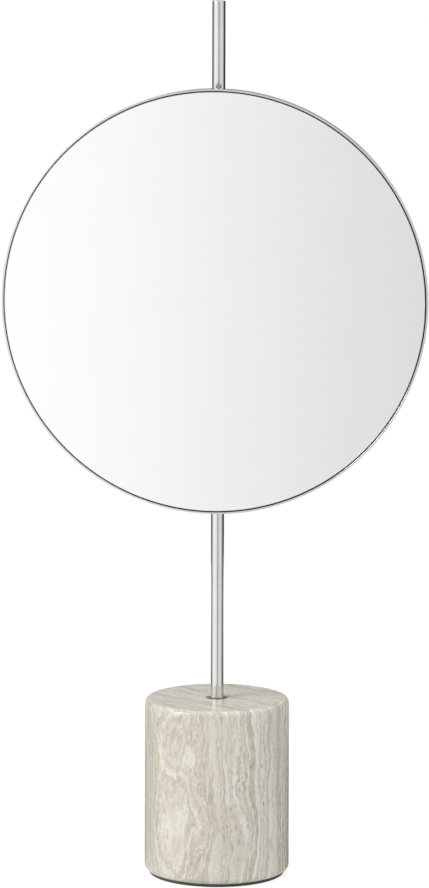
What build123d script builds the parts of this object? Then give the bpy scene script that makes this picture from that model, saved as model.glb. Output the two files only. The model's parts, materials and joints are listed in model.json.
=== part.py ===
from build123d import *
import os
from math import cos, sin, radians

# Table-top vanity mirror: a round mirror head that slides, turns and tilts on a steel rod,
# and the rod stands in a round travertine base.
# Lengths are in millimetres and angles in degrees. The mirror faces -Y and +Z is up.
# The origin is on the rod's axis, where the pad meets the table.

# Stone base and its pad
base_radius = 52.0
stone_height = 126.0
top_edge_radius = 3.7
foot_edge_radius = 4.5
pad_thickness = 2.0
pad_inset = 3.5

# Rod and the hole that it stands in
overall_height = 627.0
rod_radius = 4.75
rod_end_round = 0.9
rod_hole_radius = 7.75
rod_hole_depth = 68.0

# Threaded lower end of the rod, which is bolted through the stone
stud_radius = 4.0
stud_hole_radius = 4.6
stud_overhang = 3.0
nut_recess_radius = 17.0
nut_recess_depth = 24.0
collar_height = 24.0
collar_web = 4.0
washer_radius = 14.5
washer_thickness = 2.0
spring_washer_wall = 3.2
spring_washer_thickness = 2.0
spring_washer_slit = 1.2
base_nut_flats = 13.0
base_nut_height = 6.5

# Mirror head, counted from the hoop's front edge backwards
mirror_radius = 150.0
mirror_centre_height = 417.5
hoop_wall = 1.2
hoop_edge_round = 0.3
glass_recess = 0.8
glass_thickness = 3.0
glass_arris = 0.4
shadow_gap = 0.8
gasket_recess = 0.7
gasket_depth = 3.0
foam_thickness = 1.2
foam_strip_width = 25.0
foam_strip_length = 160.0
foam_strip_pitch = 50.0
foam_strip_count = 4
board_thickness = 3.0
board_edge_gap = 1.0
cover_thickness = 1.0
cover_edge_gap = 0.2
back_inset = 0.5

# Lugs inside the hoop and the screws that hold the back cover to them
lug_count = 6
lug_width = 10.0
lug_length = 8.0
lug_thickness = 2.0
lug_notch_gap = 0.5
cover_screw_radius = 1.5
cover_screw_length = 2.8
cover_screw_head_radius = 2.8
cover_screw_head_height = 1.6

# Tilt hinge between the mirror head and the slider
pivot_offset = 19.5
knuckle_radius = 5.5
knuckle_gap = 0.5
tongue_width = 8.0
ear_thickness = 3.0
ear_radius = 5.0
hinge_plate_width = 40.0
hinge_plate_height = 40.0
hinge_plate_thickness = 2.0
hinge_plate_corner = 4.0
tilt_pin_radius = 2.5
tilt_pin_head_radius = 4.5
tilt_pin_head_height = 2.8
tilt_pin_overhang = 1.0
friction_washer_thickness = 0.5
friction_washer_radius = 5.0
wave_washer_thickness = 0.7
wave_washer_wall = 2.0
tilt_nut_flats = 8.0
tilt_nut_height = 5.0
bracket_screw_radius = 2.0
bracket_screw_spread = 14.0
bracket_screw_head_radius = 3.5
bracket_screw_head_height = 2.2
nut_plate_size = 36.0
nut_plate_thickness = 2.5
nut_plate_window_gap = 0.4

# Slider block with its two bushes
block_height = 34.0
block_wall = 5.45
block_edge_round = 1.2
bush_wall = 1.7
bush_length = 11.0
bush_flange_width = 2.5
bush_flange_thickness = 1.2

# Clamp screw at the back of the block
boss_radius = 6.5
boss_length = 4.0
clamp_screw_radius = 2.45
clamp_tip_length = 4.0
clamp_tip_gap = 0.2
clamp_peg_radius = 1.0
clamp_peg_length = 2.5
knob_lift = 0.6
knob_neck_radius = 5.0
knob_neck_length = 4.0
knob_radius = 9.0
knob_length = 12.0
knob_edge = 0.9
knob_flute_count = 30
knob_flute_radius = 0.6

# Fits and clearances
running_fit = 0.05
side_play = 0.05
axial_play = 0.1
collar_fit = 0.2
stud_fit = 0.1
merge = 0.4

# Screw heads: how far the rim is rounded and the cross recess reaches, as shares
slot_width = 1.0
slot_depth = 0.9
head_round_share = 0.4
recess_share = 1.3

# Heights of the stand
stone_top = pad_thickness + stone_height
hole_floor = stone_top - rod_hole_depth
recess_roof = pad_thickness + nut_recess_depth
rod_shoulder = hole_floor + collar_web
washer_underside = recess_roof - washer_thickness
spring_washer_underside = washer_underside - spring_washer_thickness
base_nut_underside = spring_washer_underside - base_nut_height
stud_end = base_nut_underside - stud_overhang

# Heights of the slider block
block_bottom = mirror_centre_height - block_height / 2
block_top = mirror_centre_height + block_height / 2

# Places along Y, from the rod's axis forwards to the hoop's front edge
plate_back = -(pivot_offset + knuckle_radius + knuckle_gap)
cover_back = plate_back - hinge_plate_thickness
cover_front = cover_back - cover_thickness
board_front = cover_front - board_thickness
glass_back = board_front - foam_thickness
glass_front = glass_back - glass_thickness
hoop_front = glass_front - glass_recess
hoop_back = cover_back + back_inset
hoop_depth = hoop_back - hoop_front
gasket_front = glass_front + gasket_recess
lug_front = cover_front - lug_thickness
nut_plate_front = cover_front - nut_plate_thickness

# Radii of the mirror head
hoop_inner_radius = mirror_radius - hoop_wall
glass_radius = hoop_inner_radius - shadow_gap
board_radius = hoop_inner_radius - board_edge_gap
cover_radius = hoop_inner_radius - cover_edge_gap
lug_ring_radius = hoop_inner_radius - lug_length / 2

# Radii of the slider
bush_inner_radius = rod_radius + running_fit
bush_outer_radius = bush_inner_radius + bush_wall
block_bore_radius = bush_outer_radius + running_fit
block_radius = block_bore_radius + block_wall
clamp_hole_radius = clamp_screw_radius + running_fit

# Places along X in the tilt hinge
washer_face = tongue_width / 2 + side_play
ear_inner_face = washer_face + friction_washer_thickness + side_play
ear_outer_face = ear_inner_face + ear_thickness
wave_washer_face = ear_outer_face + side_play
tilt_nut_face = wave_washer_face + wave_washer_thickness + side_play

# Places along Y in the clamp
clamp_tip_end = rod_radius + clamp_tip_gap + clamp_tip_length
clamp_screw_end = clamp_tip_end + axial_play
boss_end = block_radius + boss_length
neck_start = boss_end + knob_lift
knob_start = neck_start + knob_neck_length

pivot = Vector(0, -pivot_offset, mirror_centre_height)


def disc(radius, start, end, x=0.0, y=0.0):
    """A round bar along Z between two heights."""
    return Pos(x, y, start) * Cylinder(radius, end - start, align=(Align.CENTER, Align.CENTER, Align.MIN))


def bar_x(radius, start, end, y=0.0, z=0.0):
    """A round bar along X between two places."""
    bar = Cylinder(radius, end - start, align=(Align.CENTER, Align.CENTER, Align.MIN))
    return Pos(start, y, z) * Rot(0, 90, 0) * bar


def bar_y(radius, start, end, x=0.0, z=mirror_centre_height):
    """A round bar along Y between two places."""
    bar = Cylinder(radius, end - start, align=(Align.CENTER, Align.CENTER, Align.MIN))
    return Pos(x, start, z) * Rot(-90, 0, 0) * bar


def slab(x_size, y_start, y_end, z_size, x=0.0, z=mirror_centre_height):
    """A block given by its sizes along X and Z and its two faces along Y."""
    depth = y_end - y_start
    return Pos(x, (y_start + y_end) / 2, z) * Box(x_size, depth, z_size)


def hexagon_z(flats, height, bore, bottom):
    """A six-sided nut along Z with its bore."""
    outline = RegularPolygon(flats / 2, 6, major_radius=False)
    body = Pos(0, 0, bottom) * extrude(outline, height)
    return body - disc(bore, bottom, bottom + height)


def head_ring_places(count, radius, first=0.0):
    """Angle, X and Z of places spread evenly on a circle round the mirror's centre."""
    places = []
    for index in range(count):
        angle = first + index * 360.0 / count
        x = radius * cos(radians(angle))
        z = mirror_centre_height + radius * sin(radians(angle))
        places.append((angle, x, z))
    return places


def pan_screw(x, z, seat, shank_radius, shank_length, head_radius, head_height):
    """A pan-head screw along -Y whose head sits on a face that looks to +Y."""
    head = bar_y(head_radius, seat, seat + head_height, x, z)
    rim = head.edges().group_by(Axis.Y)[-1]
    head = fillet(rim, head_height * head_round_share)
    slot_reach = head_radius * recess_share
    slot_floor = seat + head_height - slot_depth
    head -= slab(slot_reach, slot_floor, seat + head_height, slot_width, x, z)
    head -= slab(slot_width, slot_floor, seat + head_height, slot_reach, x, z)
    return head + bar_y(shank_radius, seat - shank_length, seat, x, z)


# Stand: stone, pad, rod and the bolting that joins them
def make_stone_base():
    stone = disc(base_radius, pad_thickness, stone_top)
    stone = fillet(stone.edges().group_by(Axis.Z)[-1], top_edge_radius)
    stone = fillet(stone.edges().group_by(Axis.Z)[0], foot_edge_radius)
    stone -= disc(rod_hole_radius, hole_floor, stone_top)
    stone -= disc(stud_hole_radius, recess_roof, hole_floor)
    stone -= disc(nut_recess_radius, pad_thickness, recess_roof)
    return stone


def make_base_pad():
    return disc(base_radius - pad_inset, 0.0, pad_thickness)


def make_rod():
    rod = disc(rod_radius, rod_shoulder, overall_height)
    rod = fillet(rod.edges().group_by(Axis.Z)[-1], rod_end_round)
    return rod + disc(stud_radius, stud_end, rod_shoulder)


def make_centring_collar():
    collar = disc(rod_hole_radius - collar_fit, hole_floor, hole_floor + collar_height)
    collar -= disc(rod_radius + running_fit, rod_shoulder, hole_floor + collar_height)
    return collar - disc(stud_radius + stud_fit, hole_floor, rod_shoulder)


def make_large_washer():
    washer = disc(washer_radius, washer_underside, recess_roof)
    return washer - disc(stud_radius + stud_fit, washer_underside, recess_roof)


def make_spring_washer():
    outer = stud_radius + stud_fit + spring_washer_wall
    washer = disc(outer, spring_washer_underside, washer_underside)
    washer -= disc(stud_radius + stud_fit, spring_washer_underside, washer_underside)
    slit = Box(outer, spring_washer_slit, spring_washer_thickness * 2)
    return washer - Pos(outer / 2, 0, spring_washer_underside) * slit


def make_base_nut():
    return hexagon_z(base_nut_flats, base_nut_height, stud_radius + running_fit, base_nut_underside)


# Slider: two bushes on the rod and the block that turns on them
def make_bush(side):
    """One flanged bush; side is 1 for the upper one and -1 for the lower one."""
    face = block_height / 2 + axial_play
    sleeve = disc(bush_outer_radius, face - bush_length, face)
    flange = disc(bush_outer_radius + bush_flange_width, face, face + bush_flange_thickness)
    bush = sleeve + flange - disc(bush_inner_radius, face - bush_length, face + bush_flange_thickness)
    if side < 0:
        bush = Rot(180, 0, 0) * bush
    return Pos(0, 0, mirror_centre_height) * bush


def make_slider_block():
    block = disc(block_radius, block_bottom, block_top)
    block = fillet(block.edges().filter_by(GeomType.CIRCLE), block_edge_round)
    tongue = bar_x(knuckle_radius, -tongue_width / 2, tongue_width / 2, -pivot_offset, mirror_centre_height)
    tongue += slab(tongue_width, -pivot_offset, 0.0, knuckle_radius * 2)
    boss = bar_y(boss_radius, 0.0, boss_end)
    boss = fillet(boss.edges().group_by(Axis.Y)[-1], block_edge_round / 2)
    block = block + tongue + boss
    block -= disc(block_bore_radius, block_bottom, block_top)
    block -= bar_y(clamp_hole_radius, 0.0, boss_end)
    pin_bore = tilt_pin_radius + running_fit
    block -= bar_x(pin_bore, -tongue_width / 2, tongue_width / 2, -pivot_offset, mirror_centre_height)
    return block


# Clamp: a soft tip and the knurled screw that presses it on the rod
def make_clamp_tip():
    tip = bar_y(clamp_screw_radius, rod_radius - merge, clamp_tip_end)
    tip -= disc(rod_radius + clamp_tip_gap, block_bottom, block_top)
    return tip + bar_y(clamp_peg_radius, clamp_tip_end - merge, clamp_tip_end + clamp_peg_length)


def make_thumbscrew():
    screw = bar_y(clamp_screw_radius, clamp_screw_end, neck_start + merge)
    screw += bar_y(knob_neck_radius, neck_start, knob_start)
    knob = bar_y(knob_radius, knob_start, knob_start + knob_length)
    knob = chamfer(knob.edges().filter_by(GeomType.CIRCLE), knob_edge)
    for _, x, z in head_ring_places(knob_flute_count, knob_radius):
        knob -= bar_y(knob_flute_radius, knob_start, knob_start + knob_length, x, z)
    peg_hole_end = clamp_screw_end + clamp_peg_length + axial_play
    return screw + knob - bar_y(clamp_peg_radius + running_fit, clamp_screw_end, peg_hole_end)


# Mirror head: hoop, glass, backing and the back cover
def make_rim_hoop():
    hoop = bar_y(mirror_radius, hoop_front, hoop_back)
    hoop -= bar_y(hoop_inner_radius, hoop_front, hoop_back)
    hoop = fillet(hoop.edges().filter_by(GeomType.CIRCLE), hoop_edge_round)
    for angle, _, _ in head_ring_places(lug_count, lug_ring_radius):
        lug = slab(lug_length + merge, lug_front, cover_front, lug_width, lug_ring_radius + merge / 2, 0.0)
        hoop += Pos(0, 0, mirror_centre_height) * Rot(0, -angle, 0) * lug
    for _, x, z in head_ring_places(lug_count, lug_ring_radius):
        hoop -= bar_y(cover_screw_radius + running_fit, lug_front, cover_front, x, z)
    return hoop


def make_mirror_glass():
    glass = bar_y(glass_radius, glass_front, glass_back)
    return chamfer(glass.edges().group_by(Axis.Y)[0], glass_arris)


def make_edge_gasket():
    outer = hoop_inner_radius - side_play
    inner = glass_radius + side_play
    gasket = bar_y(outer, gasket_front, gasket_front + gasket_depth)
    return gasket - bar_y(inner, gasket_front, gasket_front + gasket_depth)


def make_foam_strips():
    strips = []
    for index in range(foam_strip_count):
        x = (index - (foam_strip_count - 1) / 2) * foam_strip_pitch
        strips.append(slab(foam_strip_width, glass_back, board_front, foam_strip_length, x))
    return Compound(children=strips)


def make_backing_board():
    board = bar_y(board_radius, board_front, cover_front)
    notch_length = lug_length + 2 * lug_notch_gap
    notch_width = lug_width + 2 * lug_notch_gap
    for angle, _, _ in head_ring_places(lug_count, lug_ring_radius):
        notch = slab(notch_length, board_front, cover_front, notch_width, lug_ring_radius, 0.0)
        board -= Pos(0, 0, mirror_centre_height) * Rot(0, -angle, 0) * notch
    window = nut_plate_size + 2 * nut_plate_window_gap
    return board - slab(window, board_front, cover_front, window)


def bracket_screw_places():
    places = []
    for x in (-bracket_screw_spread, bracket_screw_spread):
        for z in (-bracket_screw_spread, bracket_screw_spread):
            places.append((x, mirror_centre_height + z))
    return places


def make_back_cover():
    cover = bar_y(cover_radius, cover_front, cover_back)
    for _, x, z in head_ring_places(lug_count, lug_ring_radius):
        cover -= bar_y(cover_screw_radius + running_fit, cover_front, cover_back, x, z)
    for x, z in bracket_screw_places():
        cover -= bar_y(bracket_screw_radius + running_fit, cover_front, cover_back, x, z)
    return cover


def make_cover_screws():
    screws = []
    for _, x, z in head_ring_places(lug_count, lug_ring_radius):
        screw = pan_screw(
            x, z, cover_back, cover_screw_radius, cover_screw_length,
            cover_screw_head_radius, cover_screw_head_height,
        )
        screws.append(screw)
    return Compound(children=screws)


def make_nut_plate():
    plate = slab(nut_plate_size, nut_plate_front, cover_front, nut_plate_size)
    for x, z in bracket_screw_places():
        plate -= bar_y(bracket_screw_radius + running_fit, nut_plate_front, cover_front, x, z)
    return plate


# Tilt hinge: bracket on the back cover, pin, washers and nut
def make_hinge_bracket():
    plate = slab(hinge_plate_width, cover_back, plate_back, hinge_plate_height)
    plate = fillet(plate.edges().filter_by(Axis.Y), hinge_plate_corner)
    for x, z in bracket_screw_places():
        plate -= bar_y(bracket_screw_radius + running_fit, cover_back, plate_back, x, z)
    for start in (-ear_outer_face, ear_inner_face):
        end = start + ear_thickness
        ear = bar_x(ear_radius, start, end, -pivot_offset, mirror_centre_height)
        ear += slab(ear_thickness, cover_back, -pivot_offset, ear_radius * 2, (start + end) / 2)
        ear -= bar_x(tilt_pin_radius + running_fit, start, end, -pivot_offset, mirror_centre_height)
        plate += ear
    return plate


def make_bracket_screws():
    length = hinge_plate_thickness + cover_thickness + nut_plate_thickness
    screws = []
    for x, z in bracket_screw_places():
        screw = pan_screw(
            x, z, plate_back, bracket_screw_radius, length,
            bracket_screw_head_radius, bracket_screw_head_height,
        )
        screws.append(screw)
    return Compound(children=screws)


def make_tilt_pin():
    head_face = -(ear_outer_face + side_play)
    end = tilt_nut_face + tilt_nut_height + tilt_pin_overhang
    head = bar_x(tilt_pin_head_radius, head_face - tilt_pin_head_height, head_face, pivot.Y, pivot.Z)
    head = fillet(head.edges().group_by(Axis.X)[0], tilt_pin_head_height * head_round_share)
    slot = Box(slot_depth * 2, tilt_pin_head_radius * 2, slot_width)
    head -= Pos(head_face - tilt_pin_head_height, pivot.Y, pivot.Z) * slot
    return head + bar_x(tilt_pin_radius, head_face, end, pivot.Y, pivot.Z)


def make_friction_washers():
    washers = []
    for start in (-washer_face - friction_washer_thickness, washer_face):
        end = start + friction_washer_thickness
        washer = bar_x(friction_washer_radius, start, end, pivot.Y, pivot.Z)
        washers.append(washer - bar_x(tilt_pin_radius + running_fit, start, end, pivot.Y, pivot.Z))
    return Compound(children=washers)


def make_wave_washer():
    end = wave_washer_face + wave_washer_thickness
    bore = tilt_pin_radius + running_fit
    washer = bar_x(bore + wave_washer_wall, wave_washer_face, end, pivot.Y, pivot.Z)
    return washer - bar_x(bore, wave_washer_face, end, pivot.Y, pivot.Z)


def make_tilt_nut():
    nut = hexagon_z(tilt_nut_flats, tilt_nut_height, tilt_pin_radius + running_fit, 0.0)
    return Pos(tilt_nut_face, pivot.Y, pivot.Z) * Rot(0, 90, 0) * nut


pieces = {
    "stone_base": make_stone_base(),
    "base_pad": make_base_pad(),
    "rod": make_rod(),
    "centring_collar": make_centring_collar(),
    "large_washer": make_large_washer(),
    "spring_washer": make_spring_washer(),
    "base_nut": make_base_nut(),
    "slide_bush_upper": make_bush(1),
    "slide_bush_lower": make_bush(-1),
    "slider_block": make_slider_block(),
    "clamp_tip": make_clamp_tip(),
    "thumbscrew": make_thumbscrew(),
    "tilt_pin": make_tilt_pin(),
    "friction_washers": make_friction_washers(),
    "wave_washer": make_wave_washer(),
    "tilt_nut": make_tilt_nut(),
    "hinge_bracket": make_hinge_bracket(),
    "bracket_screws": make_bracket_screws(),
    "nut_plate": make_nut_plate(),
    "rim_hoop": make_rim_hoop(),
    "mirror_glass": make_mirror_glass(),
    "edge_gasket": make_edge_gasket(),
    "foam_strips": make_foam_strips(),
    "backing_board": make_backing_board(),
    "back_cover": make_back_cover(),
    "cover_screws": make_cover_screws(),
}

os.makedirs("parts", exist_ok=True)
for name, shape in pieces.items():
    export_step(shape, f"parts/{name}.step")
print("overall height", overall_height, "mirror hoop depth", round(hoop_depth, 3))
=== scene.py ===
import json
import math

import bpy
import numpy as np
from mathutils import Matrix, Vector


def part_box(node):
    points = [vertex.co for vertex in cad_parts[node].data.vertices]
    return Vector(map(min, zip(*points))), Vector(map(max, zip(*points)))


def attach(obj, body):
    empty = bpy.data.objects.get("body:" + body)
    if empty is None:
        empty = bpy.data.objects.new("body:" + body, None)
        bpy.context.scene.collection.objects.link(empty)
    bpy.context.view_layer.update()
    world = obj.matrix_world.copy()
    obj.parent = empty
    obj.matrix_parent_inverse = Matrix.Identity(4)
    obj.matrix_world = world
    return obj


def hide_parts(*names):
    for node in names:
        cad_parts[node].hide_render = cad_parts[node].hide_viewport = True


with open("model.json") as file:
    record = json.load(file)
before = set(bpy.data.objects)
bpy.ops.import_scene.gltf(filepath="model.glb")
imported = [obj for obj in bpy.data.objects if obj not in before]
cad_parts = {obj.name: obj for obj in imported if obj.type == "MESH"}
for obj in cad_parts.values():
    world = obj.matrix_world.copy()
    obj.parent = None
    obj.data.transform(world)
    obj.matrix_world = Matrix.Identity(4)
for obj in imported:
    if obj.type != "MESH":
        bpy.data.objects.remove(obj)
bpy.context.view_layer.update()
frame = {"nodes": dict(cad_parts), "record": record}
glassLow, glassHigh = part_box("mirror_glass")
glassRadius = (glassHigh.x - glassLow.x) / 2
headHeight = (glassLow.z + glassHigh.z) / 2     # of the mirror's centre
print("frame loaded, mirror centre at", round(headHeight, 4), "m")


# Camera: a long lens about three metres away, a little above and to the right of the mirror's face
cameraView = {
    "distance": 3.198,      # from the rod's axis, level
    "sideways": 4.39,       # degrees round to the right of the mirror's face
    "height": 0.7997,
    "lookDown": 8.67,       # degrees
    "lookLeft": 0.042,      # degrees past the rod's axis
    "roll": 0.155,          # degrees
    "lens": 184.05,         # millimetres
    "sensor": 36.0,         # millimetres wide
    "nearest": 0.05,
    "furthest": 60.0,
}


# Stands the camera on a circle round the rod and turns it down, aside and about its own axis
def placeCamera(view):
    side = math.radians(view["sideways"])
    place = Vector((view["distance"] * math.sin(side), -view["distance"] * math.cos(side), view["height"]))
    turn = Matrix.Rotation(side + math.radians(view["lookLeft"]), 4, "Z")
    tip = Matrix.Rotation(math.radians(90 - view["lookDown"]), 4, "X")
    roll = Matrix.Rotation(math.radians(view["roll"]), 4, "Z")
    data = bpy.data.cameras.new("photoCamera")
    data.sensor_width = view["sensor"]
    data.lens = view["lens"]
    data.clip_start = view["nearest"]
    data.clip_end = view["furthest"]
    camera = bpy.data.objects.new("photoCamera", data)
    camera.matrix_world = Matrix.Translation(place) @ turn @ tip @ roll
    bpy.context.scene.collection.objects.link(camera)
    bpy.context.scene.camera = camera


placeCamera(cameraView)
print("camera placed")


# Node helpers
# Wires another node's output to an input, or sets the input to a value; a colour is given without alpha
def setInput(tree, socket, value):
    if isinstance(value, bpy.types.NodeSocket):
        tree.links.new(value, socket)
    elif socket.type == "RGBA":
        socket.default_value = (*value, 1.0)
    else:
        socket.default_value = value


def addNode(tree, kind, settings=None, inputs=None):
    node = tree.nodes.new(kind)
    for name, value in (settings or {}).items():
        setattr(node, name, value)
    for name, value in (inputs or {}).items():
        setInput(tree, node.inputs[name], value)
    return node


def addMath(tree, operation, first, second=0.0, third=0.0):
    inputs = {0: first, 1: second, 2: third}
    return addNode(tree, "ShaderNodeMath", {"operation": operation}, inputs).outputs[0]


def addVectorMath(tree, operation, first, second):
    return addNode(tree, "ShaderNodeVectorMath", {"operation": operation}, {0: first, 1: second}).outputs


def addNoise(tree, vector, scale, detail, rough):
    inputs = {"Vector": vector, "Scale": scale, "Detail": detail, "Roughness": rough}
    return addNode(tree, "ShaderNodeTexNoise", {}, inputs).outputs["Fac"]


def addMapping(tree, vector, scale=(1, 1, 1), turn=(0, 0, 0), shift=(0, 0, 0)):
    inputs = {"Vector": vector, "Location": shift, "Rotation": turn, "Scale": scale}
    return addNode(tree, "ShaderNodeMapping", {}, inputs).outputs[0]


def addRange(tree, value, low, high, newLow=0.0, newHigh=1.0):
    inputs = {"Value": value, "From Min": low, "From Max": high, "To Min": newLow, "To Max": newHigh}
    return addNode(tree, "ShaderNodeMapRange", {"clamp": True}, inputs).outputs[0]


# A colour ramp; each stop is a place from 0 to 1 and a colour
def addRamp(tree, value, stops):
    node = addNode(tree, "ShaderNodeValToRGB", {}, {"Fac": value})
    elements = node.color_ramp.elements
    while len(elements) < len(stops):
        elements.new(0.5)
    for element, (place, colour) in zip(elements, stops):
        element.position = place
        element.color = (*colour, 1.0)
    return node.outputs["Color"]


# A curve through stops, each a place and a height from 0 to 1
def addCurve(tree, value, stops, handle=None):
    curve = addNode(tree, "ShaderNodeFloatCurve", {}, {"Value": value})
    points = curve.mapping.curves[0].points
    while len(points) < len(stops):
        points.new(0.5, 0.5)
    for point, stop in zip(points, stops):
        point.location = stop
        if handle:
            point.handle_type = handle
    curve.mapping.update()
    return curve.outputs["Value"]


def addMix(tree, amount, first, second, blend="MIX"):
    settings = {"data_type": "RGBA", "blend_type": blend}
    return addNode(tree, "ShaderNodeMix", settings, {0: amount, 6: first, 7: second}).outputs[2]


def addBump(tree, height, strength, distance):
    inputs = {"Height": height, "Strength": strength, "Distance": distance}
    return addNode(tree, "ShaderNodeBump", {}, inputs).outputs[0]


# A new material with one Principled shader; gives the material, its tree, the shader and the place
def startFinish(name):
    material = bpy.data.materials.new(name)
    material.use_nodes = True
    tree = material.node_tree
    tree.nodes.clear()
    shader = addNode(tree, "ShaderNodeBsdfPrincipled")
    output = addNode(tree, "ShaderNodeOutputMaterial", {}, {"Surface": shader.outputs[0]})
    output.is_active_output = True
    place = addNode(tree, "ShaderNodeTexCoord").outputs["Object"]
    return material, tree, shader, place


# Sets or wires the shader's inputs; an underscore stands for a space in an input's name
def feed(tree, shader, **values):
    for name, value in values.items():
        setInput(tree, shader.inputs[name.replace("_", " ")], value)


# Studio
studio = {
    "tones": [                      # compass angle, with 0 before the mirror and 90 on the right, and grey
        (-180, 0.32), (-165, 0.26), (-150, 0.14), (-135, 0.06), (-118, 0.08), (-104, 0.24), (-84, 0.62),
        (-66, 0.94), (-45, 1.0), (-28, 0.90), (-18, 0.84), (-9, 0.87), (-7.2, 0.865), (-6.4, 0.85),
        (-5.3, 0.80), (-4.4, 0.75), (-3.4, 0.695), (-2.1, 0.635), (-1.4, 0.61), (1.0, 0.50), (6.0, 0.34),
        (12.0, 0.41), (22, 0.62), (34, 0.74), (52, 0.78), (70, 0.68), (86, 0.44), (100, 0.16), (113, 0.02),
        (135, 0.02), (152, 0.10), (166, 0.24), (180, 0.32),
    ],
    "strength": 1.21,               # multiplies all tones
    "backdrop": 1.0,                # as the camera sees it
    "ceiling": 0.90,
    "ceilingRise": (0.45, 0.80),    # upward part of a direction where the ceiling starts and is full
    "rear": 0.80,
    "rearDepth": (0.86, 0.95),      # backward part of a direction where the rear wall starts and is full
    "rearRise": (0.06, 0.0),
    "stand": {"middle": -4.0, "halfWidth": 10.0, "soft": 2.5, "rise": (-0.045, 0.0), "tone": 0.02},
    "floorRadius": 1.25,
    "floorColumns": 128,
    "floorRear": (0.3, 0.8),        # metres behind the rod where the floor takes on the rear wall's tone
    "floorGlow": 0.74,
    "floorShown": (0.42, 0.42, 0.42),
    "floorPlain": (0.7, 0.7, 0.7),  # as it throws light on the object
}
softboxes = {
    "keySoftbox": {"place": (-1.65, -0.95, 1.35), "aim": (0, 0, 0.2), "size": (0.8, 1.0), "power": 15.0,
                   "mirrored": True},
    "fillSoftbox": {"place": (1.5, -0.75, 0.55), "aim": (0, 0, 0.08), "size": (0.6, 0.6), "power": 1.8,
                    "mirrored": False},
}
softboxSpread = 160.0       # degrees


# Compass angle of a vector, with its parts away from the camera and up
def addCompass(tree, vector):
    apart = addNode(tree, "ShaderNodeSeparateXYZ", {}, {"Vector": vector}).outputs
    front = addMath(tree, "MULTIPLY", apart["Y"], -1.0)
    return addMath(tree, "ARCTAN2", apart["X"], front), apart["Y"], apart["Z"]


# Grey of the surroundings: the compass angle looked up in the curve of tones
def addStudioTone(tree, angle):
    share = addRange(tree, angle, -math.pi, math.pi)
    stops = [((degrees + 180) / 360, tone) for degrees, tone in studio["tones"]]
    return addCurve(tree, share, stops, "AUTO_CLAMPED")


# The dark camera and its stand in front: a window over the compass angle, above a given rise
def addCameraStand(tree, angle, upward, tone):
    stand = studio["stand"]
    aside = addMath(tree, "ABSOLUTE", addMath(tree, "SUBTRACT", angle, math.radians(stand["middle"])))
    inner, outer = (math.radians(stand["halfWidth"] + sign * stand["soft"]) for sign in (-1, 1))
    inside = addRange(tree, aside, inner, outer, 1.0, 0.0)
    raised = addRange(tree, upward, *stand["rise"])
    return addMix(tree, addMath(tree, "MULTIPLY", inside, raised), tone, (stand["tone"],) * 3)


# The surroundings: white to the camera. In reflections, and as light, they are the curve of tones with the
# camera's stand in front, a pale wall low at the rear and a pale ceiling.
def makeWorld():
    world = bpy.data.worlds.new("studio")
    world.use_nodes = True
    tree = world.node_tree
    tree.nodes.clear()
    angle, backward, upward = addCompass(tree, addNode(tree, "ShaderNodeTexCoord").outputs["Generated"])
    tone = addCameraStand(tree, angle, upward, addStudioTone(tree, angle))
    deep = addRange(tree, backward, *studio["rearDepth"])
    rear = addMath(tree, "MULTIPLY", deep, addRange(tree, upward, *studio["rearRise"]))
    tone = addMix(tree, rear, tone, (studio["rear"],) * 3)
    tone = addMix(tree, addRange(tree, upward, *studio["ceilingRise"]), tone, (studio["ceiling"],) * 3)
    tone = addMix(tree, 1.0, tone, (studio["strength"],) * 3, "MULTIPLY")
    seen = addNode(tree, "ShaderNodeLightPath").outputs["Is Camera Ray"]
    colour = addMix(tree, seen, tone, (studio["backdrop"],) * 3)
    background = addNode(tree, "ShaderNodeBackground", {}, {"Color": colour, "Strength": 1.0})
    addNode(tree, "ShaderNodeOutputWorld", {}, {"Surface": background.outputs[0]})
    bpy.context.scene.world = world


# A round floor: near white with its shadow to the camera, toned like the surroundings in reflections, and
# plain paper where it throws light on the object
def makeFloor():
    turn = np.linspace(0, 2 * np.pi, studio["floorColumns"], endpoint=False)
    ring = np.stack([np.cos(turn), np.sin(turn), np.zeros_like(turn)], axis=1) * studio["floorRadius"]
    mesh = bpy.data.meshes.new("studioFloor")
    mesh.from_pydata(ring.tolist(), [], [list(range(len(ring)))])
    floor = bpy.data.objects.new("studioFloor", mesh)
    bpy.context.scene.collection.objects.link(floor)
    material = bpy.data.materials.new("floorPaper")
    material.use_nodes = True
    tree = material.node_tree
    tree.nodes.clear()
    path = addNode(tree, "ShaderNodeLightPath").outputs
    angle, backward, _ = addCompass(tree, addNode(tree, "ShaderNodeTexCoord").outputs["Object"])
    rear = addRange(tree, backward, *studio["floorRear"])
    tone = addMix(tree, rear, addStudioTone(tree, angle), (studio["rear"],) * 3)
    tone = addMix(tree, 1.0, tone, (studio["strength"],) * 3, "MULTIPLY")
    mirrored = addNode(tree, "ShaderNodeEmission", {}, {"Color": tone, "Strength": 1.0}).outputs[0]
    plain = addNode(tree, "ShaderNodeBsdfDiffuse", {}, {"Color": studio["floorPlain"]}).outputs[0]
    paper = addNode(tree, "ShaderNodeBsdfDiffuse", {}, {"Color": studio["floorShown"]}).outputs[0]
    white = {"Color": (1, 1, 1), "Strength": studio["floorGlow"]}
    glow = addNode(tree, "ShaderNodeEmission", {}, white).outputs[0]
    shown = addNode(tree, "ShaderNodeAddShader", {}, {0: paper, 1: glow}).outputs[0]
    reflected = addMath(tree, "MAXIMUM", path["Is Glossy Ray"], path["Is Transmission Ray"])
    unseen = addNode(tree, "ShaderNodeMixShader", {}, {0: reflected, 1: plain, 2: mirrored}).outputs[0]
    kinds = {0: path["Is Camera Ray"], 1: unseen, 2: shown}
    surface = addNode(tree, "ShaderNodeMixShader", {}, kinds).outputs[0]
    addNode(tree, "ShaderNodeOutputMaterial", {}, {"Surface": surface})
    mesh.materials.append(material)


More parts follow.
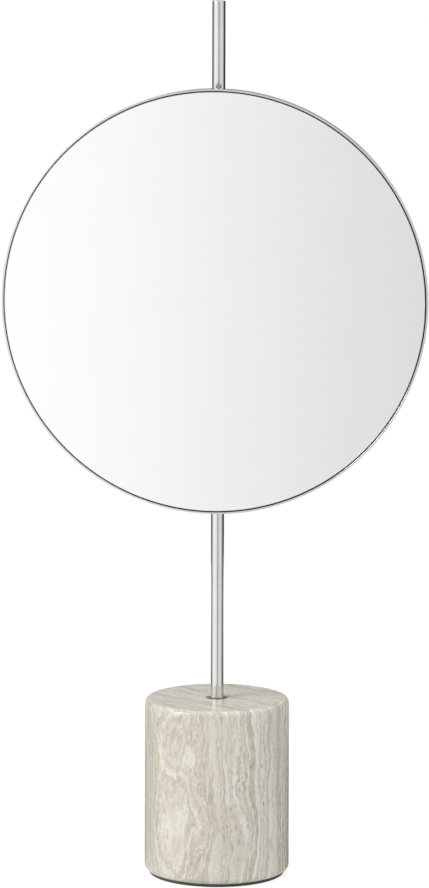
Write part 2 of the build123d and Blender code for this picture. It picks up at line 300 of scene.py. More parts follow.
# A rectangular lamp turned to its aim; one that isn't mirrored lights the object unseen in reflections
def makeLamp(name, softbox):
    data = bpy.data.lights.new(name, "AREA")
    data.shape = "RECTANGLE"
    data.size, data.size_y = softbox["size"]
    data.energy = softbox["power"]
    data.spread = math.radians(softboxSpread)
    lamp = bpy.data.objects.new(name, data)
    place, aim = Vector(softbox["place"]), Vector(softbox["aim"])
    lamp.location = place
    lamp.rotation_euler = (aim - place).to_track_quat("-Z", "Y").to_euler()
    lamp.visible_glossy = softbox["mirrored"]
    bpy.context.scene.collection.objects.link(lamp)


makeWorld()
makeFloor()
for lampName, lampLook in softboxes.items():
    makeLamp(lampName, lampLook)
bpy.context.scene.view_settings.view_transform = "Standard"
print("studio set up")


# Finishes
toneSpan = (0.35, 0.65)         # the span of noise from a finish's first tone to its second
roughSpan = (0.3, 0.7)          # the same for its roughness
stoneRadius = (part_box("stone_base")[1].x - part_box("stone_base")[0].x) / 2

travertineLook = {
    "sheetAngle": 53.0,         # degrees from +X to the sheets' normal
    "cut": (-0.309, -0.087, 0.013),     # where in the quarry's block the piece was cut, in metres
    "bends": [                  # noise scale, size in metres, stretch across, along and up, detail
        (26.0, 0.016, (1, 0.8, 0.45), 1.0),
        (95.0, 0.0070, (1, 0.9, 0.42), 1.0),
        (400.0, 0.0026, (1, 1, 0.50), 1.0),
        (900.0, 0.0012, (1, 1, 0.60), 1.0),
    ],
    "bendRough": 0.5,
    "swells": [                 # degrees round from the front, height, size across and up, lift, in metres
        (-33, 0.100, 0.011, 0.024, 0.0070),
        (-40, 0.036, 0.020, 0.036, -0.0040),
        (17, 0.076, 0.008, 0.020, 0.0065),
        (34, 0.044, 0.007, 0.018, -0.0055),
        (-70, 0.075, 0.010, 0.030, 0.0040),
        (160, 0.060, 0.016, 0.030, -0.0090),
    ],
    "layers": [                 # depth along the normal in millimetres, tone
        (-52, 0.50), (-49, 0.50), (-46, 0.38), (-43.5, 0.44), (-41, 0.60), (-38, 0.54), (-34, 0.50),
        (-31, 0.62), (-27, 0.60), (-22, 0.56), (-18, 0.62), (-15, 0.72), (-12, 0.56), (-6, 0.66), (-2, 0.58),
        (4, 0.66), (8, 0.56), (15, 0.58), (21, 0.64), (27, 0.50), (35, 0.58), (43, 0.46), (52, 0.58),
    ],
    "layerShare": 0.17,
    "gainDepths": (-0.036, -0.020), "gains": (0.90, 1.75),      # how strongly the bands show, by depth
    "bands": {"spacing": 0.0046, "detail": 5.0, "rough": 0.80, "shift": 3.7, "share": 0.36},
    "fine": {"spacing": 0.0015, "detail": 2.0, "rough": 0.5, "shift": 5.3, "share": 0.24},
    "cloud": {"scale": 55.0, "stretch": (1, 0.7, 0.45), "detail": 3.0, "rough": 0.55, "share": 0.08},
    "grain": {"scale": 900.0, "stretch": (1, 0.8, 0.16), "detail": 3.0, "rough": 0.65, "share": 0.17},
    "tones": [
        (0.38, (0.300, 0.262, 0.196)), (0.445, (0.500, 0.455, 0.366)), (0.50, (0.630, 0.586, 0.500)),
        (0.55, (0.705, 0.668, 0.592)), (0.62, (0.81, 0.780, 0.712)),
    ],
    "patches": {"scale": 40.0, "stretch": (1, 1, 1), "detail": 2.0, "rough": 0.6, "span": (0.40, 0.58)},
    "veins": {"spacing": 0.0052, "detail": 1.0, "rough": 0.4, "shift": 9.1, "width": 0.040, "share": 0.65,
              "colour": (0.87, 0.845, 0.785)},
    # Painted shade: dark lines along both sides of each vein
    "veinSideShade": {"place": 0.085, "width": 0.032, "share": 0.55, "colour": (0.38, 0.335, 0.262)},
    "specks": {"scale": 620.0, "stretch": (1, 1, 0.55), "detail": 1.0, "rough": 0.5, "span": (0.62, 0.70),
               "cloudSpan": (0.54, 0.44)},
    # The pits' colour is painted shade in them, by depth; the specks take it as their own dark colour
    "pits": {"share": 0.60, "colour": (0.30, 0.262, 0.20), "rough": 0.3},
    "roughness": (0.30, 0.17), "relief": 0.10, "reliefDepth": 0.0003,
}


# Vein-cut travertine: upright sheets that run obliquely through the block. Depth is the distance along the
# sheets' normal, bent by noise of four sizes and lifted by a bell of the distance to each swell's middle.
# The tone adds the shares of coarse and fine noise along the depth, a curve over the depth, cloud and
# grain, where a gain over the depth strengthens all but the curve and the cloud. Veins lie where a third
# noise along the depth is near its middle value, and painted shade lines lie along both sides of them.
def travertineFinish(look):
    material, tree, shader, place = startFinish("travertineStone")
    sheets = addMapping(tree, place, turn=(0, 0, math.radians(-look["sheetAngle"])))
    depth = addNode(tree, "ShaderNodeSeparateXYZ", {}, {"Vector": sheets}).outputs["X"]
    sheets = addMapping(tree, sheets, shift=look["cut"])
    for scale, size, stretch, detail in look["bends"]:
        bend = addNoise(tree, addMapping(tree, sheets, stretch), scale, detail, look["bendRough"])
        depth = addMath(tree, "MULTIPLY_ADD", addMath(tree, "SUBTRACT", bend, 0.5), size, depth)
    for degrees, height, across, upward, lift in look["swells"]:
        angle = math.radians(degrees)
        middle = (stoneRadius * math.sin(angle), -stoneRadius * math.cos(angle), height)
        away = addVectorMath(tree, "SUBTRACT", place, middle)["Vector"]
        away = addMapping(tree, away, (1 / across, 1 / across, 1 / upward))
        square = addVectorMath(tree, "DOT_PRODUCT", away, away)["Value"]
        bell = addMath(tree, "EXPONENT", addMath(tree, "MULTIPLY", square, -1.0))
        depth = addMath(tree, "MULTIPLY_ADD", bell, lift, depth)
    gain = addRange(tree, depth, *look["gainDepths"], *look["gains"])

    def addBands(part):
        along = addMath(tree, "MULTIPLY_ADD", depth, 1.0 / part["spacing"], part["shift"])
        inputs = {"W": along, "Scale": 1.0, "Detail": part["detail"], "Roughness": part["rough"]}
        return addNode(tree, "ShaderNodeTexNoise", {"noise_dimensions": "1D"}, inputs).outputs["Fac"]

    def addSpots(part):
        drawn = addMapping(tree, sheets, part["stretch"])
        return addNoise(tree, drawn, part["scale"], part["detail"], part["rough"])

    def strengthen(noise):
        return addMath(tree, "MULTIPLY_ADD", addMath(tree, "SUBTRACT", noise, 0.5), gain, 0.5)

    def addLines(distance, part, colour):
        line = addRange(tree, distance, 0.0, part["width"], 1.0, 0.0)
        amount = addMath(tree, "MULTIPLY", addMath(tree, "MULTIPLY", line, patch), part["share"])
        return addMix(tree, amount, colour, part["colour"])

    share = addRange(tree, depth, -stoneRadius, stoneRadius)
    layers = addCurve(tree, share, [
        ((millimetres / 1000 + stoneRadius) / (2 * stoneRadius), grey) for millimetres, grey in look["layers"]
    ])
    bands = strengthen(addBands(look["bands"]))
    fine = strengthen(addBands(look["fine"]))
    cloud = addSpots(look["cloud"])
    grain = strengthen(addSpots(look["grain"]))
    tone = addMath(tree, "MULTIPLY", bands, look["bands"]["share"])
    tone = addMath(tree, "MULTIPLY_ADD", fine, look["fine"]["share"], tone)
    tone = addMath(tree, "MULTIPLY_ADD", layers, look["layerShare"], tone)
    tone = addMath(tree, "MULTIPLY_ADD", cloud, look["cloud"]["share"], tone)
    tone = addMath(tree, "MULTIPLY_ADD", grain, look["grain"]["share"], tone)
    colour = addRamp(tree, tone, look["tones"])
    patch = addRange(tree, addSpots(look["patches"]), *look["patches"]["span"])
    ridge = addMath(tree, "ABSOLUTE", addMath(tree, "SUBTRACT", addBands(look["veins"]), 0.5))
    colour = addLines(ridge, look["veins"], colour)
    # Painted shade lines along both sides of each vein
    beside = addMath(tree, "ABSOLUTE", addMath(tree, "SUBTRACT", ridge, look["veinSideShade"]["place"]))
    colour = addLines(beside, look["veinSideShade"], colour)
    specks, pits = look["specks"], look["pits"]
    speck = addRange(tree, addSpots(specks), *specks["span"])
    speck = addMath(tree, "MULTIPLY", speck, addRange(tree, cloud, *specks["cloudSpan"]))
    # Painted shade in the pits, by their depth, joined with the specks, which are the stone's own dark marks
    pitShadeAndSpecks = addNode(tree, "ShaderNodeAttribute", {"attribute_name": "pitShadeAndSpecks"}).outputs["Fac"]
    pitShadeAndSpecks = addMath(tree, "MAXIMUM", pitShadeAndSpecks, speck)
    colour = addMix(tree, addMath(tree, "MULTIPLY", pitShadeAndSpecks, pits["share"]), colour, pits["colour"])
    rough = addRange(tree, bands, *roughSpan, *look["roughness"])
    rough = addMath(tree, "MULTIPLY_ADD", pitShadeAndSpecks, pits["rough"], rough)
    normal = addBump(tree, grain, look["relief"], look["reliefDepth"])
    feed(tree, shader, Base_Color=colour, Roughness=rough, Normal=normal)
    return material


rodLook = {
    "grain": (1, 1, 0.012),     # how the fine noise is stretched, which draws it out along the brushing
    "grainScale": 2600.0, "grainDetail": 3.0, "grainRough": 0.65,
    "cloudScale": 60.0, "cloudDetail": 2.0, "cloudRough": 0.5, "cloudShare": 0.3,
    "tones": ((0.69, 0.685, 0.673), (0.775, 0.77, 0.76)),
    "roughness": (0.13, 0.16), "relief": 0.010, "reliefDepth": 0.0001,
}
hoopLook = dict(rodLook, grain=(1, 1, 1), grainScale=900.0, roughness=(0.09, 0.14))
coverLook = dict(rodLook, grain=(0.02, 1, 1), grainScale=1500.0, roughness=(0.28, 0.40), relief=0.03,
                 tones=((0.78, 0.775, 0.765), (0.88, 0.875, 0.865)))
turnedLook = dict(coverLook, grain=(0.12, 0.12, 1), grainScale=2200.0, roughness=(0.22, 0.34), relief=0.05,
                  tones=((0.66, 0.655, 0.64), (0.78, 0.775, 0.765)))
zincLook = dict(coverLook, grain=(1, 1, 1), grainScale=700.0, roughness=(0.28, 0.42),
                tones=((0.52, 0.53, 0.545), (0.64, 0.65, 0.665)))
springLook = dict(zincLook, tones=((0.16, 0.16, 0.165), (0.26, 0.26, 0.265)))
brassLook = dict(zincLook, tones=((0.60, 0.43, 0.20), (0.74, 0.56, 0.29)))


# Brushed metal: fine noise drawn out along the brushing sets roughness and tiny relief, and together with
# the share of a cloudier noise the tone
def steelFinish(name, look):
    material, tree, shader, place = startFinish(name)
    drawn = addMapping(tree, place, look["grain"])
    lines = addNoise(tree, drawn, look["grainScale"], look["grainDetail"], look["grainRough"])
    cloud = addNoise(tree, place, look["cloudScale"], look["cloudDetail"], look["cloudRough"])
    tone = addMath(tree, "MULTIPLY", lines, 1 - look["cloudShare"])
    tone = addMath(tree, "MULTIPLY_ADD", cloud, look["cloudShare"], tone)
    colour = addRamp(tree, tone, list(zip(toneSpan, look["tones"])))
    rough = addRange(tree, lines, *roughSpan, *look["roughness"])
    normal = addBump(tree, lines, look["relief"], look["reliefDepth"])
    feed(tree, shader, Base_Color=colour, Metallic=1.0, Roughness=rough, Normal=normal)
    return material


mirrorLook = {
    "silver": ((0.3, (0.945, 0.948, 0.952)), (0.7, (0.955, 0.957, 0.960))),
    "hazeScale": 30.0, "hazeDetail": 3.0, "hazeNoise": 0.6, "hazeSpan": (0.4, 0.8), "hazeRough": 0.012,
    "arris": 0.0004, "ground": (0.88, 0.90, 0.89), "groundSoft": (0.00004, 0.00002), "groundRough": 0.18,
    "sealed": (0.02, 0.022, 0.022), "sealedSoft": 0.00006,
}


# Silvered glass: a clear mirror with a faint haze, a ground arris outside the given radius and, behind
# the arris, a dark sealed edge. The radius is the square root of the two squared distances.
def mirrorFinish(look):
    material, tree, shader, place = startFinish("silveredGlass")
    apart = addNode(tree, "ShaderNodeSeparateXYZ", {}, {"Vector": place}).outputs
    height = addMath(tree, "SUBTRACT", apart["Z"], headHeight)
    square = addMath(tree, "MULTIPLY", apart["X"], apart["X"])
    radius = addMath(tree, "SQRT", addMath(tree, "MULTIPLY_ADD", height, height, square))
    start, soft = glassRadius - look["arris"], look["groundSoft"]
    ground = addRange(tree, radius, start - soft[0], start + soft[1])
    behind = glassLow.y + look["arris"]
    sealed = addRange(tree, apart["Y"], behind, behind + look["sealedSoft"])
    haze = addNoise(tree, place, look["hazeScale"], look["hazeDetail"], look["hazeNoise"])
    colour = addRamp(tree, haze, look["silver"])
    colour = addMix(tree, ground, colour, look["ground"])
    colour = addMix(tree, sealed, colour, look["sealed"])
    rough = addRange(tree, haze, *look["hazeSpan"], 0.0, look["hazeRough"])
    rough = addMath(tree, "MULTIPLY_ADD", ground, look["groundRough"], rough)
    feed(tree, shader, Base_Color=colour, Metallic=1.0, Roughness=rough)
    return material


nylonLook = {
    "scale": 1500.0, "grain": (1, 1, 1), "detail": 4.0, "rough": 0.6,
    "tones": ((0.020, 0.020, 0.021), (0.035, 0.035, 0.036)),
    "roughness": (0.42, 0.55), "relief": 0.08, "reliefDepth": 0.0002,
}
padLook = dict(nylonLook, scale=1300.0, tones=((0.055, 0.053, 0.050), (0.11, 0.108, 0.104)),
               roughness=(0.75, 0.92), relief=0.35)
gasketLook = dict(nylonLook, scale=900.0, tones=((0.008, 0.008, 0.008), (0.016, 0.016, 0.016)),
                  roughness=(0.6, 0.8), relief=0.05)
foamLook = dict(nylonLook, scale=1800.0, tones=((0.70, 0.69, 0.66), (0.82, 0.81, 0.78)),
                roughness=(0.85, 0.95), relief=0.4)
boardLook = dict(nylonLook, scale=500.0, grain=(1, 0.2, 1), tones=((0.22, 0.14, 0.075), (0.34, 0.23, 0.13)),
                 roughness=(0.8, 0.95), relief=0.3)


# Rubber, foam, board or moulded plastic: fine noise sets the tone, the roughness and a little relief
def dullFinish(name, look):
    material, tree, shader, place = startFinish(name)
    drawn = addMapping(tree, place, look["grain"])
    grain = addNoise(tree, drawn, look["scale"], look["detail"], look["rough"])
    colour = addRamp(tree, grain, list(zip(toneSpan, look["tones"])))
    rough = addRange(tree, grain, *roughSpan, *look["roughness"])
    normal = addBump(tree, grain, look["relief"], look["reliefDepth"])
    feed(tree, shader, Base_Color=colour, Roughness=rough, Normal=normal)
    return material


finishes = {
    "travertine": travertineFinish(travertineLook),
    "dark_pad": dullFinish("padRubber", padLook),
    "brushed_rod": steelFinish("rodSteel", rodLook),
    "zinc_steel": steelFinish("zincPlate", zincLook),
    "spring_steel": steelFinish("springSteel", springLook),
    "bush_plastic": dullFinish("bushNylon", nylonLook),
    "brushed_block": steelFinish("blockSteel", turnedLook),
    "clamp_brass": steelFinish("clampBrass", brassLook),
    "knurled_steel": steelFinish("knurledSteel", turnedLook),
    "brushed_bracket": steelFinish("bracketSteel", coverLook),
    "screw_steel": steelFinish("screwSteel", zincLook),
    "brushed_hoop": steelFinish("hoopSteel", hoopLook),
    "silvered_glass": mirrorFinish(mirrorLook),
    "black_gasket": dullFinish("gasketRubber", gasketLook),
    "foam_tape": dullFinish("tapeFoam", foamLook),
    "fibreboard": dullFinish("backFibreboard", boardLook),
    "brushed_cover": steelFinish("coverSteel", coverLook),
}
slotOfNode = {row["node"]: row["material_slot"] for row in frame["record"]["subparts"]}
for node, piece in frame["nodes"].items():
    piece.data.materials[0] = finishes[slotOfNode[node]]
print("finishes made:", len(finishes))


# Surfaces
# One mesh from one or more skins. A skin is a grid of points, rows by columns, closed round its columns,
# and whether its ends are capped: the rows close on themselves, or the first and last get a flat cap.
def addSurface(name, *skins):
    places, corners, starts = [], [], []
    first, used = 0, 0
    for points, capEnds in skins:
        rows, columns = points.shape[:2]
        row, column = np.meshgrid(np.arange(rows - 1 if capEnds else rows), np.arange(columns), indexing="ij")
        nextRow, nextColumn = (row + 1) % rows, (column + 1) % columns
        quads = np.stack([
            row * columns + column, row * columns + nextColumn,
            nextRow * columns + nextColumn, nextRow * columns + column,
        ], axis=-1).reshape(-1)
        begins = np.arange(0, quads.size, 4)
        if capEnds:
            ring = np.arange(columns)
            begins = np.concatenate([begins, [quads.size, quads.size + columns]])
            quads = np.concatenate([quads, ring[::-1], ring + (rows - 1) * columns])
        places.append(points.reshape(-1, 3))
        corners.append(quads + first)
        starts.append(begins + used)
        first += rows * columns
        used += quads.size
    places, corners, starts = (np.concatenate(part) for part in (places, corners, starts))
    mesh = bpy.data.meshes.new(name)
    mesh.vertices.add(len(places))
    mesh.vertices.foreach_set("co", places.reshape(-1).astype(np.float32))
    mesh.loops.add(len(corners))
    mesh.loops.foreach_set("vertex_index", corners.astype(np.int32))
    mesh.polygons.add(len(starts))
    mesh.polygons.foreach_set("loop_start", starts.astype(np.int32))
    mesh.polygons.foreach_set("use_smooth", np.ones(len(starts), dtype=bool))
    mesh.update(calc_edges=True)
    piece = bpy.data.objects.new(name, mesh)
    bpy.context.scene.collection.objects.link(piece)
    return piece


fewestArcPoints = 5


# Outline of straight runs and arcs from corners (radius, height, rounding), cut into steps. An open one
# keeps its first and last corners plain. A guard point beside each arc keeps the flats' shading flat.
def roundPath(corners, step, closed=True, guard=0.0):
    flat = np.array([corner[:2] for corner in corners], dtype=float)
    pieces = [] if closed else [flat[:1]]
    for index in range(0 if closed else 1, len(flat) if closed else len(flat) - 1):
        here, before, after = flat[index], flat[index - 1], flat[(index + 1) % len(flat)]
        rounding = corners[index][2]
        back = (before - here) / np.linalg.norm(before - here)
        ahead = (after - here) / np.linalg.norm(after - here)
        half = math.acos(float(np.clip(back @ ahead, -1, 1))) / 2
        reach = rounding / math.tan(half)
        middle = here + (back + ahead) / np.linalg.norm(back + ahead) * rounding / math.sin(half)
        start, end = here + back * reach - middle, here + ahead * reach - middle
        sweep = math.pi - 2 * half
        turn = np.sign(start[0] * end[1] - start[1] * end[0])
        count = max(fewestArcPoints, int(math.ceil(rounding * sweep / step)) + 1)
        angles = np.linspace(0, sweep, count) * turn
        arc = np.stack([
            start[0] * np.cos(angles) - start[1] * np.sin(angles),
            start[0] * np.sin(angles) + start[1] * np.cos(angles),
        ], axis=1) + middle
        if guard:
            arc = np.concatenate([arc[:1] + back * guard, arc, arc[-1:] + ahead * guard])
        pieces.append(arc)
    if not closed:
        pieces.append(flat[-1:])
    points = []
    for index, piece in enumerate(pieces):
        points.append(piece)
        if closed or index < len(pieces) - 1:
            gap = pieces[(index + 1) % len(pieces)][0] - piece[-1]
            count = int(np.linalg.norm(gap) // step)
            shares = np.arange(1, count + 1) / (count + 1)
            points.append(piece[-1] + shares[:, None] * gap)
    return np.concatenate(points)


# Points of a profile (radius, height) turned about the rod's axis: the radius times the angle's cosine and
# sine, and the height. About the mirror's own axis the height is the distance in front of the rod.
def turnProfile(profile, columns, aboutMirror=False):
    angles = np.linspace(0, 2 * np.pi, columns, endpoint=False)
    across = profile[:, None, 0] * np.cos(angles)
    aside = profile[:, None, 0] * np.sin(angles)
    height = np.repeat(profile[:, 1:], columns, axis=1)
    if aboutMirror:
        return np.stack([across, -height, aside + headHeight], axis=-1)
    return np.stack([across, aside, height], axis=-1)


# Gives a new piece its finish and its place in the assembly
def dress(piece, body, slot, *nodes):
    piece.data.materials.append(finishes[slot])
    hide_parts(*nodes)
    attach(piece, body)


stoneShape = {
    "topRound": 0.0037, "footRound": 0.0045, "edge": 0.0003,
    "holeRadius": 0.00775, "holeDepth": 0.068, "holeEdge": 0.0005,
    "studHole": 0.0046, "recessRadius": 0.017, "recessDepth": 0.024,
    "step": 0.00095, "columns": 360,
    "darkDepth": 0.02, "keptRings": 6,      # one ring in six is kept where nothing is seen
    "pits": 230, "seed": 7, "pitLimits": (0.004, -0.003), "pitWidths": (0.0004, 0.0010),
    "pitStretches": (1.0, 3.2), "pitDepth": 0.00035, "pitShares": (0.3, 1.0),
}


# The stone: a profile turned about the rod's axis, with small upright pits pressed into its skin.
# Each pit lowers the skin by its depth times a bell of the distance to its middle.
def makeStone(shape):
    low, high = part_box("stone_base")
    radius, hole, edge = (high.x - low.x) / 2, shape["holeRadius"], shape["edge"]
    floor = high.z - shape["holeDepth"]
    roof = low.z + shape["recessDepth"]
    profile = roundPath([
        (shape["recessRadius"], low.z, edge), (radius, low.z, shape["footRound"]),
        (radius, high.z, shape["topRound"]), (hole, high.z, shape["holeEdge"]),
        (hole, floor, edge), (shape["studHole"], floor, edge),
        (shape["studHole"], roof, edge), (shape["recessRadius"], roof, edge),
    ], shape["step"])
    # The stud's hole, the underside and the deep part of the wide hole aren't seen
    hidden = (profile[:, 0] < hole * 0.99) | (profile[:, 1] < low.z + 1e-5)
    hidden |= (profile[:, 0] < hole * 1.001) & (profile[:, 1] < high.z - shape["darkDepth"])
    profile = profile[~hidden | (np.arange(len(profile)) % shape["keptRings"] == 0)]
    ahead = np.roll(profile, -1, axis=0) - np.roll(profile, 1, axis=0)
    outward = np.stack([ahead[:, 1], -ahead[:, 0]], axis=1)
    outward /= np.linalg.norm(outward, axis=1, keepdims=True)
    points = turnProfile(profile, shape["columns"])
    normals = turnProfile(outward, shape["columns"])
    draw = np.random.default_rng(shape["seed"])
    count = shape["pits"]
    turns = draw.uniform(0, 2 * np.pi, count)
    heights = draw.uniform(low.z + shape["pitLimits"][0], high.z + shape["pitLimits"][1], count)
    widths = draw.uniform(*shape["pitWidths"], count)
    lengths = widths * draw.uniform(*shape["pitStretches"], count)
    depths = draw.uniform(*shape["pitShares"], count) * shape["pitDepth"]
    sunk = np.zeros(points.shape[:2])
    # Only the outer wall gets pits
    side = (outward[:, 0] > 0.5) & (profile[:, 0] > radius * 0.9)
    angles = np.linspace(0, 2 * np.pi, shape["columns"], endpoint=False)
    across = np.angle(np.exp(1j * (angles[:, None] - turns[None]))) * radius / widths
    upward = (profile[side, 1][:, None] - heights[None]) / lengths
    reach = upward[:, None, :] ** 2 + across[None] ** 2
    sunk[side] = (depths * np.exp(-reach)).max(axis=2)
    points -= normals * sunk[..., None]
    stone = addSurface("travertineBlock", (points, False))
    # Each point keeps its share of the pit's depth, by which the finish paints shade into the pits
    mark = stone.data.attributes.new("pitShadeAndSpecks", "FLOAT", "POINT")
    mark.data.foreach_set("value", np.clip(sunk / shape["pitDepth"], 0, 1).reshape(-1).astype(np.float32))
    dress(stone, "stand", "travertine", "stone_base")


makeStone(stoneShape)
print("stone made")

rodShape = {
    "endRound": 0.0009, "shoulder": 0.064, "studRadius": 0.004, "edge": 0.0002, "guard": 0.00008,
    "step": 0.02, "columns": 96,
}


# The rod: a turned profile with its stud below, its shoulder and the round at its top end
def makeRod(shape):
    low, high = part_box("rod")
    radius, stud, edge = (high.x - low.x) / 2, shape["studRadius"], shape["edge"]
    profile = roundPath([
        (radius / 2, low.z, 0), (stud, low.z, edge), (stud, shape["shoulder"], edge),
        (radius, shape["shoulder"], edge), (radius, high.z, shape["endRound"]), (radius / 2, high.z, 0),
    ], shape["step"], closed=False, guard=shape["guard"])
    rod = addSurface("rodBar", (turnProfile(profile, shape["columns"]), True))
    dress(rod, "stand", "brushed_rod", "rod")


makeRod(rodShape)

glassShape = {
    "arris": mirrorLook["arris"], "edge": 0.00004, "guard": 0.00004, "step": 0.02, "columns": 360,
    "offCentre": (-0.00027, 0.0, -0.00014),     # how far it was set off the hoop's middle
    "oversize": 0.0001,         # on the radius
}


# The mirror: a turned disc with a ground arris at 45 degrees on each edge
def makeGlass(shape):
    radius = glassRadius + shape["oversize"]
    arris, edge = shape["arris"], shape["edge"]
    back, front = -glassHigh.y, -glassLow.y
    profile = roundPath([
        (radius / 2, back, 0), (radius - arris, back, edge), (radius, back + arris, edge),
        (radius, front - arris, edge), (radius - arris, front, edge), (radius / 2, front, 0),
    ], shape["step"], closed=False, guard=shape["guard"])
    points = turnProfile(profile, shape["columns"], True) + np.array(shape["offCentre"])
    glass = addSurface("mirrorDisc", (points, True))
    dress(glass, "mirror_head", "silvered_glass", "mirror_glass")


makeGlass(glassShape)

sealShape = {"setBack": 0.0016, "edge": 0.00015, "guard": 0.00005, "step": 0.01, "columns": 360}


# The seal at the bottom of the gap between glass and hoop: a turned strip with soft edges
def makeSeal(shape):
    low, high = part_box("edge_gasket")
    inner, outer = glassRadius, (high.x - low.x) / 2
    back, front = -high.y, -low.y - shape["setBack"]
    edge = shape["edge"]
    profile = roundPath([
        (inner, back, edge), (outer, back, edge), (outer, front, edge), (inner, front, edge),
    ], shape["step"], guard=shape["guard"])
    seal = addSurface("gapSeal", (turnProfile(profile, shape["columns"], True), False))
    dress(seal, "mirror_head", "black_gasket", "edge_gasket")


makeSeal(sealShape)

hoopShape = {
    "wall": 0.0012, "frontRound": 0.0002, "backRound": 0.0003, "guard": 0.00006, "step": 0.02, "columns": 360,
    "lugs": 6, "lugRing": 0.1448, "lugHalfLength": 0.0042, "lugHalfWidth": 0.005, "lugColumns": 48,
    "lugBack": 0.0285, "lugFront": 0.0305, "lugHole": 0.00155, "lugEdge": 0.00015,
}


# One lug inside the hoop: eight rings, four for a box with rounded corners and four for the screw's hole.
# The box's reach is the sum, to the power of minus an eighth, of the eighth powers of the angle's cosine
# over the half length and its sine over the half width.
def lugSkin(shape, angle):
    turn = np.linspace(0, 2 * np.pi, shape["lugColumns"], endpoint=False)
    sides = np.abs(np.cos(turn) / shape["lugHalfLength"]) ** 8
    sides += np.abs(np.sin(turn) / shape["lugHalfWidth"]) ** 8
    outline = sides ** -0.125
    hole, edge = np.full(len(turn), shape["lugHole"]), shape["lugEdge"]
    back, front = shape["lugBack"], shape["lugFront"]
    reach = np.stack([
        outline, outline, outline - edge, hole + edge, hole, hole, hole + edge, outline - edge,
    ])
    height = np.array([back + edge, front - edge, front, front, front - edge, back + edge, back, back])
    away = shape["lugRing"] + reach * np.cos(turn)
    aside = reach * np.sin(turn)
    across = away * math.cos(angle) - aside * math.sin(angle)
    upward = away * math.sin(angle) + aside * math.cos(angle) + headHeight
    return np.stack([across, np.broadcast_to(-height[:, None], across.shape), upward], axis=-1)


# The hoop: its wall's section turned about the mirror's axis, with the lugs for the back cover's screws
def makeHoop(shape):
    low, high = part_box("rim_hoop")
    outer = (high.x - low.x) / 2
    inner, back, front = outer - shape["wall"], -high.y, -low.y
    profile = roundPath([
        (inner, back, shape["backRound"]), (outer, back, shape["backRound"]),
        (outer, front, shape["frontRound"]), (inner, front, shape["frontRound"]),
    ], shape["step"], guard=shape["guard"])
    skins = [(turnProfile(profile, shape["columns"], True), False)]
    skins += [(lugSkin(shape, 2 * math.pi * index / shape["lugs"]), False) for index in range(shape["lugs"])]
    dress(addSurface("rimHoop", *skins), "mirror_head", "brushed_hoop", "rim_hoop")


makeHoop(hoopShape)

padShape = {"footRound": 0.0005, "topRound": 0.0003, "guard": 0.0001, "step": 0.01, "columns": 240}


# The pad: a turned disc with soft edges
def makePad(shape):
    low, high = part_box("base_pad")
    radius = (high.x - low.x) / 2
    profile = roundPath([
        (radius / 2, low.z, 0), (radius, low.z, shape["footRound"]),
        (radius, high.z, shape["topRound"]), (radius / 2, high.z, 0),
    ], shape["step"], closed=False, guard=shape["guard"])
    pad = addSurface("footPad", (turnProfile(profile, shape["columns"]), True))
    dress(pad, "stand", "dark_pad", "base_pad")


makePad(padShape)
print("rod, glass, seal, hoop and pad made")

thumbscrewShape = {
    "boltRadius": 0.00245, "pegHole": 0.00105, "pegDepth": 0.0026, "pegEdge": 0.00005,
    "neckStart": 0.0166, "neckRadius": 0.005,
    "knobStart": 0.0206, "knobEdge": 0.0009, "dishRadius": 0.0068, "dishDepth": 0.0005, "edge": 0.0002,
    "threadPitch": 0.0008, "threadDepth": 0.00028, "threadMargin": 0.0006,
    "knurls": 36, "knurlRise": 0.0026, "knurlDepth": 0.00042,
    "step": 0.00019, "columns": 288,
}


# A wave of straight flanks between 0 and 1
def zigzag(turns):
    return np.abs(2 * (turns - np.floor(turns)) - 1)


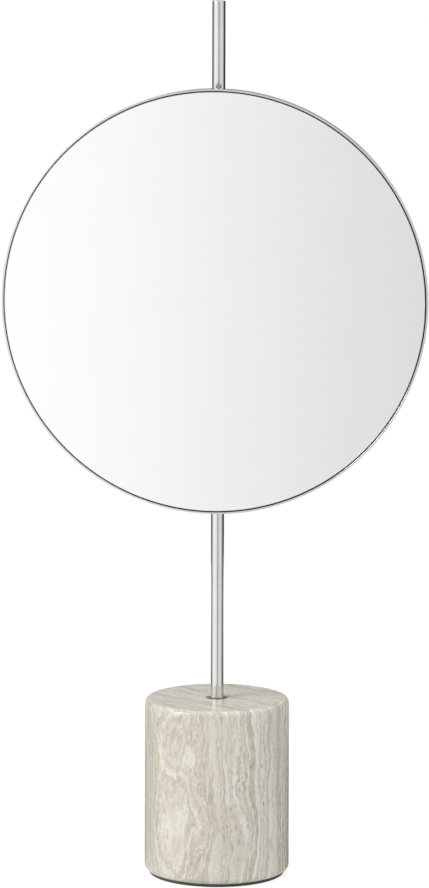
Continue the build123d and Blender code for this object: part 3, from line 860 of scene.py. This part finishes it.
# The thumbscrew: a profile turned about the clamp's axis. On the bolt the radius falls with a wave of the
# distance less the turn, which is the thread; on the knob with the lower of two waves that climb opposite
# ways, which leaves the diamonds of the knurl.
def makeThumbscrew(shape):
    low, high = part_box("thumbscrew")
    radius, bolt, edge = (high.x - low.x) / 2, shape["boltRadius"], shape["edge"]
    neck, start, end = shape["neckRadius"], shape["neckStart"], high.y
    knobStart, chamfer, dish = shape["knobStart"], shape["knobEdge"], shape["dishRadius"]
    hole, holeEnd = shape["pegHole"], low.y + shape["pegDepth"]
    floor = end - shape["dishDepth"]
    profile = roundPath([
        (hole / 2, holeEnd, 0), (hole, holeEnd, shape["pegEdge"]), (hole, low.y, edge), (bolt, low.y, edge),
        (bolt, start, edge), (neck, start, edge), (neck, knobStart, edge),
        (radius - chamfer, knobStart, edge), (radius, knobStart + chamfer, edge),
        (radius, end - chamfer, edge), (radius - chamfer, end, edge),
        (dish, end, edge), (dish, floor, edge), (dish / 2, floor, 0),
    ], shape["step"], closed=False)
    turn = np.linspace(0, 1, shape["columns"], endpoint=False)
    reach = np.repeat(profile[:, :1], len(turn), axis=1)
    along = profile[:, 1:]
    thread = bolt - shape["threadDepth"] * (1 - zigzag(along / shape["threadPitch"] - turn))
    margin = shape["threadMargin"]
    threaded = (along[:, 0] > low.y + margin) & (along[:, 0] < start - margin)
    threaded &= profile[:, 0] > bolt * 0.999
    reach[threaded] = np.minimum(reach, thread)[threaded]
    climb = along / shape["knurlRise"]
    diamonds = np.minimum(zigzag(shape["knurls"] * turn + climb), zigzag(shape["knurls"] * turn - climb))
    knurled = profile[:, 0] > radius - chamfer * 0.9
    reach[knurled] = np.minimum(reach, radius - shape["knurlDepth"] * (1 - diamonds))[knurled]
    across = reach * np.cos(2 * np.pi * turn)
    upward = headHeight - reach * np.sin(2 * np.pi * turn)
    points = np.stack([across, np.broadcast_to(along, across.shape), upward], axis=-1)
    dress(addSurface("thumbScrew", (points, True)), "clamp_screw", "knurled_steel", "thumbscrew")


makeThumbscrew(thumbscrewShape)

waveShape = {
    "thickness": 0.00028, "bore": 0.00255, "waves": 3, "edge": 0.00006, "guard": 0.00003, "step": 0.01,
    "columns": 120,
}


# The wave washer: a flat ring whose distance along the pin follows three waves round it
def makeWaveWasher(shape):
    low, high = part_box("wave_washer")
    outer, half = (high.z - low.z) / 2, shape["thickness"] / 2
    edge, bore = shape["edge"], shape["bore"]
    section = roundPath([(bore, -half, edge), (outer, -half, edge), (outer, half, edge), (bore, half, edge)],
                        shape["step"], guard=shape["guard"])
    turn = np.linspace(0, 2 * np.pi, shape["columns"], endpoint=False)
    rise = ((high.x - low.x) / 2 - half) * np.cos(shape["waves"] * turn)
    place = (high.x + low.x) / 2 + section[:, 1:] + rise
    across = section[:, :1] * np.cos(turn) + (high.y + low.y) / 2
    upward = section[:, :1] * np.sin(turn) + (high.z + low.z) / 2
    washer = addSurface("waveRing", (np.stack([place, across, upward], axis=-1), False))
    dress(washer, "mirror_head", "spring_steel", "wave_washer")


makeWaveWasher(waveShape)
print("thumbscrew and wave washer made")
